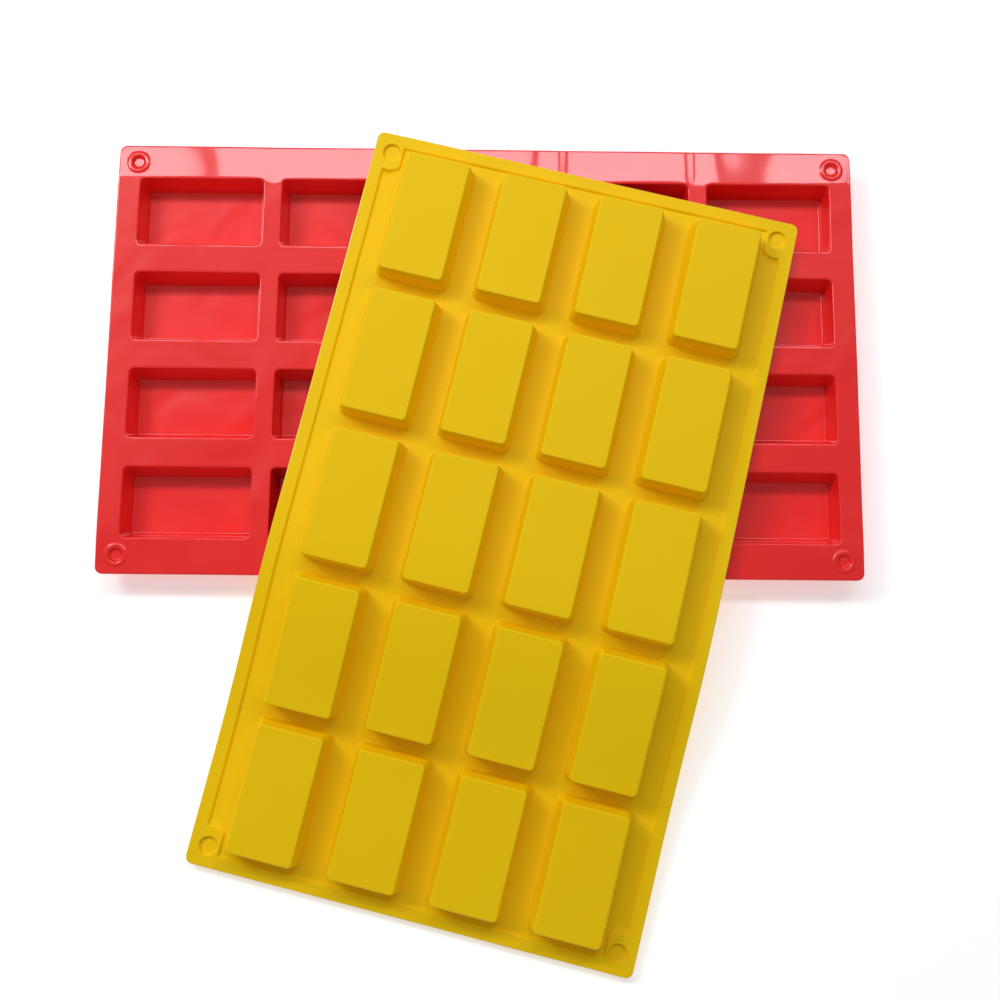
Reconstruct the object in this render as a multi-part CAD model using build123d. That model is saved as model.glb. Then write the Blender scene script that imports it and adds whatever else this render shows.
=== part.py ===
from build123d import *
import math
import os

os.makedirs("parts", exist_ok=True)

# Two equal silicone mould trays, stacked: the lower one stands on the surface with its
# mouths up, the upper one lies across it upside down. All sizes are in mm and degrees.

# one tray, in its own frame: length along X, mouths facing +Z, mouth plane at Z = 0
tray_height = 12.5
cup_rows = 5
cups_per_row = 4
mouth_length = 49.5
mouth_width = 27.4
row_gap = 7.4
cup_gap = 11.6
end_margin = 8.95
side_margin = 14.0
wall = 1.2
wall_lean_along = 1.6
wall_lean_across = 2.35
sheet_thickness = 1.6
rim_thickness = 2.6
rim_width = 5.2
outer_corner_radius = 2.8
mouth_corner_radius = 2.0
base_corner_radius = 1.6
mouth_lip_radius = 0.7
floor_radius = 0.8
base_edge_radius = 0.6
rim_edge_radius = 0.5
flex_width = 3.0

# blind hanging eye in each corner: a raised ring on the mouth side, a pocket below,
# and a thin skin left between them
eye_from_end = 7.8
eye_from_side = 7.2
eye_hole_radius = 2.2
eye_hole_depth = 0.8
eye_skin = 0.5
eye_pocket_radius = 3.5
ring_radius = 4.4
ring_height = 0.4
ring_edge_radius = 0.18
boss_radius = 6.5
boss_reach = 1.5

# how the upper tray lies on the lower one
upper_turn = 13.2
upper_shift_x = 8.1
edge_past_fold = 7.586
upper_gap = 0.75
upper_tilt = 0.55
drape_fold = -12.0
landing_fold = 9.0

# derived from the sizes above: the tray is as large as its cups, gaps and margins make it
row_pitch = mouth_length + row_gap
cup_pitch = mouth_width + cup_gap
tray_length = (cup_rows - 1) * row_pitch + mouth_length + 2 * end_margin
tray_width = (cups_per_row - 1) * cup_pitch + mouth_width + 2 * side_margin
base_length = mouth_length + 2 * wall - 2 * wall_lean_along
base_width = mouth_width + 2 * wall - 2 * wall_lean_across
cavity_depth = tray_height - wall
cavity_base_length = base_length - 2 * wall
cavity_base_width = base_width - 2 * wall
hinge_height = -sheet_thickness / 2
fold_lines = [(i + 1 - cup_rows / 2) * row_pitch for i in range(cup_rows - 1)]
cup_lines = [(i - (cups_per_row - 1) / 2) * cup_pitch for i in range(cups_per_row)]
end_line = tray_length / 2
side_line = tray_width / 2
inner_strip_length = row_pitch - flex_width
end_strip_length = end_line - fold_lines[-1] - flex_width / 2


def tapered(top_size, base_size, top_radius, base_radius, depth):
    """Solid between a rounded rectangle at Z = 0 and a smaller one below it."""
    top = RectangleRounded(*top_size, top_radius)
    base = Pos(0, 0, -depth) * RectangleRounded(*base_size, base_radius)
    return loft([top.face(), base.face()], ruled=True)


def cup_body():
    """Outside of one cup, with a soft edge round its base."""
    top = (mouth_length + 2 * wall, mouth_width + 2 * wall)
    base = (base_length, base_width)
    body = tapered(top, base, mouth_corner_radius + wall, base_corner_radius, tray_height)
    return fillet(body.faces().sort_by(Axis.Z)[0].edges(), base_edge_radius)


def cup_cavity():
    """Hollow of one cup, with a soft edge round its floor."""
    top = (mouth_length, mouth_width)
    base = (cavity_base_length, cavity_base_width)
    hollow = tapered(top, base, mouth_corner_radius, base_corner_radius - wall / 2, cavity_depth)
    return fillet(hollow.faces().sort_by(Axis.Z)[0].edges(), floor_radius)


def slab(x_from, x_to, y_from, y_to, thickness):
    """Plain plate below the mouth plane."""
    plate = Box(x_to - x_from, y_to - y_from, thickness, align=(Align.MIN, Align.MIN, Align.MAX))
    return Pos(x_from, y_from, 0) * plate


def side_rims(x_from, x_to):
    """Thicker border along both long sides of the tray."""
    low = slab(x_from, x_to, -side_line, -side_line + rim_width, rim_thickness)
    high = slab(x_from, x_to, side_line - rim_width, side_line, rim_thickness)
    return low + high


def with_cups(sheet):
    """Add a row of cups on the line X = 0 to a sheet and open their mouths."""
    body = cup_body()
    hollow = cup_cavity()
    for y in cup_lines:
        sheet += Pos(0, y, 0) * body
    for y in cup_lines:
        sheet -= Pos(0, y, 0) * hollow
    return sheet


def soften_top(solid, cut_lines):
    """Round every edge of the mouth plane that is not on a cut between two strips."""
    top = solid.faces().filter_by(Axis.Z).sort_by(Axis.Z)[-1]
    lips = [edge for wire in top.inner_wires() for edge in wire.edges()]
    rim = [
        edge
        for edge in top.outer_wire().edges()
        if not any(abs(edge.center().X - x) < 0.01 for x in cut_lines)
    ]
    solid = fillet(lips, mouth_lip_radius)
    rim_keys = [(edge.center().X, edge.center().Y) for edge in rim]
    top = solid.faces().filter_by(Axis.Z).sort_by(Axis.Z)[-1]
    rim = [
        edge
        for edge in top.outer_wire().edges()
        if any(math.dist((edge.center().X, edge.center().Y), key) < 0.01 for key in rim_keys)
    ]
    return fillet(rim, rim_edge_radius)


def inner_strip():
    """One row of cups between two flex webs, centred on X = 0."""
    half = inner_strip_length / 2
    sheet = slab(-half, half, -side_line, side_line, sheet_thickness)
    strip = with_cups(sheet + side_rims(-half, half))
    return soften_top(strip, (-half, half))


def corner_boss(side):
    """Round-ended pad under a corner eye, joined to the border, at the +X end."""
    y = side * (side_line - eye_from_side)
    x = end_line - eye_from_end
    down = (Align.CENTER, Align.CENTER, Align.MAX)
    pad = Pos(x, y, 0) * Cylinder(boss_radius, rim_thickness, align=down)
    far = Pos(-boss_reach, 0, 0) * pad
    y_low = min(y - side * boss_radius, side * (side_line - 1.0))
    y_high = max(y - side * boss_radius, side * (side_line - 1.0))
    return pad + far + slab(x - boss_reach, end_line - 1.0, y_low, y_high, rim_thickness)


def corner_eye(solid, side):
    """Ring, hole and blind pocket of one corner eye, at the +X end."""
    place = Pos(end_line - eye_from_end, side * (side_line - eye_from_side), 0)
    up = (Align.CENTER, Align.CENTER, Align.MIN)
    ring = Cylinder(ring_radius, ring_height, align=up)
    ring = fillet(ring.faces().sort_by(Axis.Z)[-1].edges(), ring_edge_radius)
    skin_top = -eye_hole_depth
    hole_length = ring_height + eye_hole_depth
    hole = Pos(0, 0, skin_top) * Cylinder(eye_hole_radius, hole_length, align=up)
    pocket_length = rim_thickness - eye_hole_depth - eye_skin
    pocket = Pos(0, 0, -rim_thickness) * Cylinder(eye_pocket_radius, pocket_length, align=up)
    return solid + place * ring - place * hole - place * pocket


def end_strip():
    """Last row of cups with the end border and two corner eyes, at the +X end."""
    start = end_line - end_strip_length
    sheet = slab(start, end_line, -side_line, side_line, sheet_thickness)
    sheet += side_rims(start, end_line)
    sheet += slab(end_line - rim_width, end_line, -side_line, side_line, rim_thickness)
    for side in (-1, 1):
        sheet += corner_boss(side)
    outer = sheet.edges().filter_by(Axis.Z).filter_by_position(Axis.X, end_line - 0.01, end_line + 0.01)
    sheet = fillet(outer, outer_corner_radius)
    row_x = (cup_rows - 1) / 2 * row_pitch
    strip = Pos(row_x, 0, 0) * with_cups(Pos(-row_x, 0, 0) * sheet)
    strip = soften_top(strip, (start,))
    for side in (-1, 1):
        strip = corner_eye(strip, side)
    return strip


def web_profile(thickness, angle):
    """Section of a flex web, from one cut face to the other one turned by the fold."""
    half = flex_width / 2
    near = [(-half, 0), (-half, -thickness)]
    turn = math.radians(angle)
    far = []
    for x, z in ((half, -thickness), (half, 0)):
        lift = z - hinge_height
        far.append((x * math.cos(turn) + lift * math.sin(turn),
                    hinge_height - x * math.sin(turn) + lift * math.cos(turn)))
    return Polyline(near + far, close=True)


def flex_web(angle):
    """Thin strip that joins two rows and bends between them, on the line X = 0."""
    parts = []
    for y_from, y_to, thickness in (
        (-side_line, -side_line + rim_width, rim_thickness),
        (-side_line + rim_width, side_line - rim_width, sheet_thickness),
        (side_line - rim_width, side_line, rim_thickness),
    ):
        face = make_face(Plane.XZ.offset(-y_to) * web_profile(thickness, angle))
        parts.append(extrude(face, y_to - y_from))
    return parts[0] + parts[1] + parts[2]


def fold_at(line, angle):
    """Turn everything beyond a fold line about the middle of its web."""
    return Pos(line, 0, hinge_height) * Rot(0, angle, 0) * Pos(-line, 0, -hinge_height)


def tray(base, folds):
    """Solids of one tray: the rows and webs from its -X end to its +X end."""
    places = [base] * cup_rows
    middle = cup_rows // 2
    for i in range(middle, cup_rows - 1):
        places[i + 1] = places[i] * fold_at(fold_lines[i], folds[i])
    for i in range(middle, 0, -1):
        places[i - 1] = places[i] * fold_at(fold_lines[i - 1], -folds[i - 1])
    end = end_strip()
    inner = inner_strip()
    solids = {}
    for i in range(cup_rows):
        row_x = (i - middle) * row_pitch
        if i == 0:
            solids["row_1"] = places[i] * Rot(0, 0, 180) * end
        elif i == cup_rows - 1:
            solids[f"row_{i + 1}"] = places[i] * end
        else:
            solids[f"row_{i + 1}"] = places[i] * Pos(row_x, 0, 0) * inner
    for i, line in enumerate(fold_lines):
        solids[f"web_{i + 1}"] = places[i] * Pos(line, 0, 0) * flex_web(folds[i])
    return solids


# the second fold of the upper tray stays a little outside the near edge of the lower one
turn = math.radians(upper_turn)
fold_reach = -fold_lines[1] * math.cos(turn) - side_line * math.sin(turn)
upper_shift_y = fold_reach - side_line + edge_past_fold
lower_place = Pos(0, 0, tray_height)
far_rise = end_line * math.sin(math.radians(upper_tilt))
upper_place = (
    Pos(upper_shift_x, upper_shift_y, tray_height + upper_gap + far_rise)
    * Rot(0, 0, 90 - upper_turn)
    * Rot(0, upper_tilt, 0)
    * Rot(180, 0, 0)
)

no_folds = [0.0] * (cup_rows - 1)
upper_folds = [landing_fold, drape_fold, 0.0, 0.0]
pieces = {f"lower_{name}": solid for name, solid in tray(lower_place, no_folds).items()}
pieces.update({f"upper_{name}": solid for name, solid in tray(upper_place, upper_folds).items()})

# the origin goes to the middle of the stack's outline, on the surface it stands on
boxes = [solid.bounding_box() for solid in pieces.values()]
middle_x = (min(box.min.X for box in boxes) + max(box.max.X for box in boxes)) / 2
middle_y = (min(box.min.Y for box in boxes) + max(box.max.Y for box in boxes)) / 2
to_origin = Pos(-middle_x, -middle_y, 0)

for name, solid in pieces.items():
    solid = to_origin * solid
    solid.label = name
    export_step(solid, f"parts/{name}.step")
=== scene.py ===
import logging
import math
from dataclasses import dataclass, field, replace
from enum import Enum
from typing import Any, Sequence

import bmesh
import bpy
import numpy as np
from mathutils import Matrix, Vector


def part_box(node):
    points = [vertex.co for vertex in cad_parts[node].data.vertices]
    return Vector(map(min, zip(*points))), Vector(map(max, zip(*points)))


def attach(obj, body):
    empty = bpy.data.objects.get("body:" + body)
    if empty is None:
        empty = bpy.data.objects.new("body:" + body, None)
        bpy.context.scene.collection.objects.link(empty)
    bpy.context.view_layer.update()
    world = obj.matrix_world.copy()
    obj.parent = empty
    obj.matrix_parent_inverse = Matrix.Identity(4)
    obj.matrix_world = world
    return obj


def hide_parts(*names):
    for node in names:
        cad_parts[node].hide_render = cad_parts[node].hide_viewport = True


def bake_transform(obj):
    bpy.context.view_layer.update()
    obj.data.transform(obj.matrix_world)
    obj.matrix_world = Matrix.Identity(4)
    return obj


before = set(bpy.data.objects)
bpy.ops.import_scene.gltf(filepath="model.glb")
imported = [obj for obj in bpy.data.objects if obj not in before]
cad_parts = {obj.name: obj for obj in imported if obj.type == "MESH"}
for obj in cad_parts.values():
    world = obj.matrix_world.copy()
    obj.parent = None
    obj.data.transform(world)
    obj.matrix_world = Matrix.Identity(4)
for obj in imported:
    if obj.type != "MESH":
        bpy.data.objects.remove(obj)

# Lengths are in millimetres in each tray's flat frame, and in metres once a skin is laid.
Array = np.ndarray
Materials = Sequence[bpy.types.Material]
Rgb = tuple[float, float, float]
MM = 0.001
WELD_DISTANCE = 0.004
OVERRUN = 0.03

# tolerances: between a place and a limit, between a point and an edge, and for a divisor
SLACK = 1e-6
ON_EDGE = 1e-9
TINY = 1e-12

# signs of X and Y at the four corners of a rectangle, anticlockwise
CORNER_SIGNS = ((1, 1), (-1, 1), (-1, -1), (1, -1))

# places of a cup's level rings: from the cell's edge to the cup, and from the wall to the middle
SHEET_SHARES = (0.0, 0.45, 0.82, 0.95)
FLOOR_SHARES = (0.97, 0.86, 0.6, 0.3, 0.0)

# rows of radius and height: the raised ring and the hole of a corner eye, and its pocket below
EYE_RING_SECTION = np.array([
    (4.68, 0.03), (4.48, 0.12), (4.28, 0.26), (4.0, 0.37), (3.65, 0.42), (3.3, 0.41),
    (3.0, 0.34), (2.75, 0.22), (2.55, 0.05), (2.4, -0.18), (2.28, -0.45), (2.18, -0.65),
    (1.98, -0.77), (1.6, -0.8), (0.8, -0.8), (0.0, -0.8),
])
EYE_POCKET_SECTION = np.array([
    (3.66, -2.57), (3.56, -2.47), (3.5, -2.3), (3.46, -1.9), (3.42, -1.55), (3.3, -1.38),
    (3.0, -1.3), (1.5, -1.3), (0.0, -1.3),
])

logging.basicConfig(level=logging.INFO, format="%(name)s: %(message)s")
log = logging.getLogger("moulds")


class Face(Enum):
    """The two sides of a tray, each with a finish of its own."""

    MOUTH = 0
    UNDER = 1


class Colour(Enum):
    """The two silicones of the stack, named by the material slots of the part."""

    RED = "red_silicone"
    YELLOW = "yellow_silicone"


# ---------------------------------------------------------------- sizes


@dataclass(frozen=True)
class TraySizes:
    """Sizes of one moulded tray in millimetres, the same as those of its CAD solids.

    Those that need a word: draft is the lean of the cup walls in degrees that their rounded
    edges are made for, side_reach and end_reach run from the middle of an outer cup to the
    outer edge of its cell, boss_reach and boss_side are how far a corner's boss runs on past
    the eye and how far it keeps from the cup cells, and step_width is the width of the soft
    step between the thick band and the sheet.
    """

    length: float = 295.0
    width: float = 172.4
    height: float = 12.5
    rows: int = 5
    cups: int = 4
    row_pitch: float = 56.9
    cup_pitch: float = 39.0
    mouth: tuple[float, float] = (49.5, 27.4)
    base: tuple[float, float] = (48.7, 25.1)
    wall: float = 1.2
    sheet: float = 1.6
    rim: float = 2.6
    rim_width: float = 5.2
    corner_radius: float = 2.8
    mouth_radius: float = 2.0
    base_radius: float = 1.6
    lip_radius: float = 0.7
    floor_radius: float = 0.8
    root_radius: float = 0.3
    base_edge_radius: float = 0.6
    draft: float = 10.0
    flex_width: float = 3.0
    side_reach: float = 15.1
    end_reach: float = 26.3
    eye_from_end: float = 7.8
    eye_from_side: float = 7.2
    boss_radius: float = 6.2
    boss_reach: float = 1.5
    boss_side: float = 0.7
    step_width: float = 0.9

    @property
    def end_line(self) -> float:
        """Half the length of the tray."""
        return self.length / 2

    @property
    def side_line(self) -> float:
        """Half the width of the tray."""
        return self.width / 2

    @property
    def hinge_height(self) -> float:
        """Height of the middle of the sheet, where every web bends."""
        return -self.sheet / 2

    @property
    def fold_lines(self) -> list[float]:
        """Places of the four flex webs along the tray."""
        return [(i + 1 - self.rows / 2) * self.row_pitch for i in range(self.rows - 1)]

    @property
    def cup_lines(self) -> list[float]:
        """Places of the four cups across the tray."""
        return [(i - (self.cups - 1) / 2) * self.cup_pitch for i in range(self.cups)]


# ---------------------------------------------------------------- curves on arrays


def smooth_step(t: Array) -> Array:
    """Smooth change from 0 to 1: three t squared less two t cubed, held at both ends.

    Args:
        t: where between the two ends each value lies.

    Returns:
        The eased values.
    """
    t = np.clip(t, 0.0, 1.0)
    return t * t * (3.0 - 2.0 * t)


def round_corner(radius: float, draft: float, steps: int) -> Array:
    """Arc between a level face and a wall that leans by the draft angle.

    The arc starts tangent to the level face, one tangent length outside the corner line,
    and turns by 90 degrees less the draft: offset is the tangent length less the radius
    times the sine of the turn, depth is the radius times one less its cosine.

    Args:
        radius: radius of the arc.
        draft: lean of the wall in degrees.
        steps: number of points on the arc.

    Returns:
        Rows of (outward offset from the corner line, depth from the level face).
    """
    turn = math.radians(90.0 - draft)
    tangent = radius * math.tan(turn / 2)
    angle = np.linspace(0.0, turn, steps)
    return np.stack([tangent - radius * np.sin(angle), radius * (1 - np.cos(angle))], axis=1)


# ---------------------------------------------------------------- patches and skins


@dataclass
class Patch:
    """One surface grid of a skin, in the tray's own flat frame.

    Attributes:
        points: grid of points, rows by columns by 3.
        face: the side of the tray that it belongs to.
        loop: whether its columns close on themselves.
    """

    points: Array
    face: Face
    loop: bool = False

    def quads(self, start: int) -> Array:
        """Corner numbers of its quads: each point, its right, upper-right and upper neighbour.

        Args:
            start: number of its first point in the whole skin.

        Returns:
            Rows of four point numbers.
        """
        rows, columns = self.points.shape[:2]
        number = start + np.arange(rows * columns).reshape(rows, columns)
        if self.loop:
            number = np.concatenate([number, number[:, :1]], axis=1)
        corners = (number[:-1, :-1], number[:-1, 1:], number[1:, 1:], number[1:, :-1])
        return np.stack([corner.ravel() for corner in corners], axis=1)


def mirrored(patches: Sequence[Patch]) -> list[Patch]:
    """Copies of some patches on the other side of the tray's middle line.

    Args:
        patches: the patches to copy.

    Returns:
        The copies, with Y reversed.
    """
    flip = np.array([1.0, -1.0, 1.0])
    return [replace(patch, points=patch.points * flip) for patch in patches]


def half_turned(patches: Sequence[Patch]) -> list[Patch]:
    """Copies of some patches turned by 180 degrees about the tray's middle.

    Args:
        patches: the patches to copy.

    Returns:
        The copies, with X and Y reversed.
    """
    turn = np.array([-1.0, -1.0, 1.0])
    return [replace(patch, points=patch.points * turn) for patch in patches]


def weld(name: str, patches: Sequence[Patch]) -> bpy.types.Mesh:
    """Join patches into one closed mesh, still flat and in millimetres.

    Points closer than the weld distance become one, open ends are run on a hair's breadth
    and filled with flat faces, and all faces are turned outwards.

    Args:
        name: name of the mesh.
        patches: the surfaces that make up the skin.

    Returns:
        The mesh, with the side of each face as its material number.
    """
    counts = [patch.points.shape[0] * patch.points.shape[1] for patch in patches]
    starts = np.concatenate([[0], np.cumsum(counts)[:-1]])
    points = np.concatenate([patch.points.reshape(-1, 3) for patch in patches])
    quads = [patch.quads(int(start)) for patch, start in zip(patches, starts)]
    sides = [np.full(len(quad), patch.face.value) for quad, patch in zip(quads, patches)]
    mesh = bpy.data.meshes.new(name)
    mesh.from_pydata(points.tolist(), [], np.concatenate(quads).tolist())
    mesh.polygons.foreach_set("material_index", np.concatenate(sides).astype(np.int32))
    mesh.polygons.foreach_set("use_smooth", np.ones(len(mesh.polygons), dtype=bool))
    shape = bmesh.new()
    shape.from_mesh(mesh)
    bmesh.ops.remove_doubles(shape, verts=shape.verts, dist=WELD_DISTANCE)
    bmesh.ops.dissolve_degenerate(shape, edges=shape.edges, dist=WELD_DISTANCE / 10)
    caps = bmesh.ops.holes_fill(shape, edges=shape.edges, sides=0)["faces"]
    middle = float(points[:, 0].mean())
    pushed = bmesh.ops.extrude_discrete_faces(shape, faces=caps)["faces"]
    for cap in pushed:
        out = math.copysign(OVERRUN, cap.calc_center_median().x - middle)
        bmesh.ops.translate(shape, verts=cap.verts, vec=(out, 0.0, 0.0))
        cap.smooth = False
        cap.material_index = Face.UNDER.value
    bmesh.ops.triangulate(shape, faces=pushed)
    bmesh.ops.recalc_face_normals(shape, faces=shape.faces)
    open_edges = sum(1 for edge in shape.edges if not edge.is_manifold)
    shape.to_mesh(mesh)
    shape.free()
    faces = len(mesh.polygons)
    log.info("%s: %d faces, %d caps, %d open edges", name, faces, len(caps), open_edges)
    return mesh


# ---------------------------------------------------------------- one cup


@dataclass(frozen=True)
class CupCell:
    """The rectangle of sheet round one cup, with point places that its neighbours share.

    Attributes:
        sizes: the tray's sizes.
        reach: distances from the cup's middle to the cell's edges: -X, +X, -Y, +Y.
        long_stops: places of the points along the long sides, from -1 to 1.
        short_stops: places of the points along the short sides, from -1 to 1.
        turns: number of steps round each corner.
        least_radius: smallest corner radius of any ring.
        wall_steps: number of steps down a wall between its rounded edges.
    """

    sizes: TraySizes
    reach: tuple[float, float, float, float]
    long_stops: Array
    short_stops: Array
    turns: int = 8
    least_radius: float = 0.2
    wall_steps: int = 5

    @property
    def straight(self) -> tuple[float, float]:
        """Half lengths of the straight parts of the mouth's sides."""
        radius = self.sizes.mouth_radius
        return self.sizes.mouth[0] / 2 - radius, self.sizes.mouth[1] / 2 - radius

    def corner_angles(self, corner: int) -> Array:
        """Directions of the points round one corner, one of them towards the cell's corner.

        Args:
            corner: number of the corner, anticlockwise from the one at +X +Y.

        Returns:
            Angles from the corner's first side, in radians.
        """
        along, across = self.straight
        west, east, south, north = self.reach
        gap_x = (east, west, west, east)[corner] - along
        gap_y = (north, north, south, south)[corner] - across
        first, second = (gap_x, gap_y) if corner % 2 == 0 else (gap_y, gap_x)
        target = math.atan2(second, first)
        angles = np.linspace(0.0, math.pi / 2, self.turns + 1)
        nearest = int(np.clip(round(target / (math.pi / 2) * self.turns), 1, self.turns - 1))
        angles[nearest] = target
        return angles

    def outline(self, half_x: Array, half_y: Array, radius: Array) -> Array:
        """Rounded rectangles: four straight sides joined by quarter circles.

        Args:
            half_x: half length of each rectangle.
            half_y: half width of each rectangle.
            radius: corner radius of each rectangle.

        Returns:
            Points of each rectangle, anticlockwise from +X: rectangles by points by 2.
        """
        half_x, half_y, radius = (np.asarray(v, float)[:, None] for v in (half_x, half_y, radius))
        along, across = half_x - radius, half_y - radius
        pieces = []
        for corner, (sx, sy) in enumerate(CORNER_SIGNS):
            angle = self.corner_angles(corner)[None, :] + corner * math.pi / 2
            x = sx * along + radius * np.cos(angle)
            y = sy * across + radius * np.sin(angle)
            pieces.append(np.stack([x, y], axis=2))
            pieces.append(self.side(corner, along, across, half_x, half_y))
        return np.concatenate(pieces, axis=1)

    def side(
        self,
        corner: int,
        along: Array | float,
        across: Array | float,
        half_x: Array | float,
        half_y: Array | float,
    ) -> Array:
        """Points between two corners of a rounded rectangle, along the side after a corner.

        Args:
            corner: number of the corner that the side follows.
            along: half length of the straight part along X.
            across: half length of the straight part along Y.
            half_x: distance of the short sides from the middle.
            half_y: distance of the long sides from the middle.

        Returns:
            Points of the side for each rectangle.
        """
        long_way, short_way = self.long_stops[None, :], self.short_stops[None, :]
        if corner == 0:
            x, y = along * long_way[:, ::-1], half_y + 0 * long_way
        elif corner == 1:
            x, y = -half_x + 0 * short_way, across * short_way[:, ::-1]
        elif corner == 2:
            x, y = along * long_way, -half_y + 0 * long_way
        else:
            x, y = half_x + 0 * short_way, across * short_way
        return np.stack(np.broadcast_arrays(x, y), axis=2)

    def boundary(self) -> Array:
        """Edge of the cell: straight out from the sides, along rays from the corner centres.

        Returns:
            Points in the same order as those of an outline.
        """
        west, east, south, north = self.reach
        along, across = self.straight
        pieces = []
        for corner, (sx, sy) in enumerate(CORNER_SIGNS):
            angle = self.corner_angles(corner) + corner * math.pi / 2
            way = np.stack([np.cos(angle), np.sin(angle)], axis=1)
            gap_x = (east if sx > 0 else west) - along
            gap_y = (north if sy > 0 else south) - across
            run_x = gap_x / np.maximum(np.abs(way[:, 0]), TINY)
            run_y = gap_y / np.maximum(np.abs(way[:, 1]), TINY)
            run = np.minimum(run_x, run_y)[:, None]
            points = np.array([sx * along, sy * across]) + run * way
            pieces.append(np.clip(points, (-west, -south), (east, north)))
            distance = (north, west, south, east)[corner]
            pieces.append(self.side(corner, along, across, distance, distance)[0])
        return np.concatenate(pieces)

    def edge_points(self, axis: int, value: float) -> Array:
        """Places along one edge of the cell, in rising order.

        Args:
            axis: 0 for an edge at a fixed X, 1 for an edge at a fixed Y.
            value: where that edge is.

        Returns:
            The other coordinate of each point on the edge.
        """
        edge = self.boundary()
        on_edge = np.abs(edge[:, axis] - value) < ON_EDGE
        return np.unique(np.round(edge[on_edge, 1 - axis], 9))

    def rings(self, half_x: Array, half_y: Array, radius: Array, height: Array) -> Array:
        """Rounded rectangles stacked at their heights.

        Args:
            half_x: half length of each ring.
            half_y: half width of each ring.
            radius: corner radius of each ring.
            height: level of each ring.

        Returns:
            The rings: rings by points by 3.
        """
        flat = self.outline(half_x, half_y, radius)
        level = np.broadcast_to(np.asarray(height, float)[:, None, None], flat.shape[:2] + (1,))
        return np.concatenate([flat, level], axis=2)

    def sheet_rings(self, inner: Array, height: float, shares: Sequence[float]) -> Array:
        """Level rings between the cell's edge and the first ring of the cup.

        Args:
            inner: the cup's first ring, points by 3.
            height: level of the sheet.
            shares: how far from the edge to the cup each ring lies, from 0 to 1.

        Returns:
            The rings: rings by points by 3.
        """
        edge = np.concatenate([self.boundary(), np.full((len(inner), 1), height)], axis=1)
        share = np.asarray(shares, float)[:, None, None]
        return edge[None] * (1 - share) + inner[None] * share

    def closing_rings(self, last: Array, shares: Sequence[float]) -> Array:
        """Level rings that shrink to the middle and close the floor or the base.

        Args:
            last: the last ring of the wall, points by 3.
            shares: size of each ring as a share of that one.

        Returns:
            The rings: rings by points by 3.
        """
        middle = np.array([0.0, 0.0, last[0, 2]])
        share = np.asarray(shares, float)[:, None, None]
        return last[None] * share + middle * (1 - share)

    def cavity(self) -> Array:
        """Mouth side of the cell: sheet, rounded lip, leaning wall, rounded floor edge, floor."""
        s = self.sizes
        depth = s.height - s.wall
        floor = (s.base[0] / 2 - s.wall, s.base[1] / 2 - s.wall, s.base_radius - s.wall / 2)
        mouth = (s.mouth[0] / 2, s.mouth[1] / 2, s.mouth_radius)
        lip = round_corner(s.lip_radius, s.draft, steps=7)
        foot = round_corner(s.floor_radius, s.draft, steps=7)[::-1]
        return self.cup_wall(mouth, floor, 0.0, -depth, lip, foot)

    def shell(self) -> Array:
        """Underside of the cell: sheet, rounded root, leaning wall, rounded edge, base."""
        s = self.sizes
        fall = s.sheet / s.height
        top = (s.mouth[0] / 2 + s.wall, s.mouth[1] / 2 + s.wall, s.mouth_radius + s.wall)
        base = (s.base[0] / 2, s.base[1] / 2, s.base_radius)
        root = tuple(a + (b - a) * fall for a, b in zip(top, base))
        turn = round_corner(s.root_radius, s.draft, steps=5)
        foot = round_corner(s.base_edge_radius, s.draft, steps=8)[::-1]
        return self.cup_wall(root, base, -s.sheet, -s.height, turn, foot)

    def cup_wall(
        self,
        top: tuple[float, ...],
        base: tuple[float, ...],
        top_height: float,
        base_height: float,
        lip: Array,
        foot: Array,
    ) -> Array:
        """Rings of a cup from the sheet to the middle of its floor.

        Args:
            top: half length, half width and corner radius where the wall meets the sheet.
            base: the same where it meets the floor.
            top_height: level of the sheet.
            base_height: level of the floor.
            lip: arc between sheet and wall.
            foot: arc between wall and floor.

        Returns:
            All rings: rings by points by 3.
        """
        start, end = np.array(top), np.array(base)
        lip_sizes = start + lip[:, :1]
        lip_levels = top_height - lip[:, 1]
        foot_sizes = end - foot[:, :1]
        foot_levels = base_height + foot[:, 1]
        share = np.linspace(0.0, 1.0, self.wall_steps + 1)[1:-1, None]
        wall_sizes = lip_sizes[-1] * (1 - share) + foot_sizes[0] * share
        wall_levels = lip_levels[-1] * (1 - share[:, 0]) + foot_levels[0] * share[:, 0]
        sizes = np.concatenate([lip_sizes, wall_sizes, foot_sizes])
        levels = np.concatenate([lip_levels, wall_levels, foot_levels])
        radius = np.maximum(sizes[:, 2], self.least_radius)
        walls = self.rings(sizes[:, 0], sizes[:, 1], radius, levels)
        sheet = self.sheet_rings(walls[0], top_height, SHEET_SHARES)
        floor = self.closing_rings(walls[-1], FLOOR_SHARES)
        return np.concatenate([sheet, walls[1:], floor])

    def patches(self, x: float, y: float) -> list[Patch]:
        """Both sides of the cell, moved to its place.

        Args:
            x: place of the cup along the tray.
            y: place of the cup across the tray.

        Returns:
            The mouth side and the underside.
        """
        place = np.array([x, y, 0.0])
        return [
            Patch(self.cavity() + place, Face.MOUTH, loop=True),
            Patch(self.shell() + place, Face.UNDER, loop=True),
        ]


# ---------------------------------------------------------------- border and corner eyes


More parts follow.
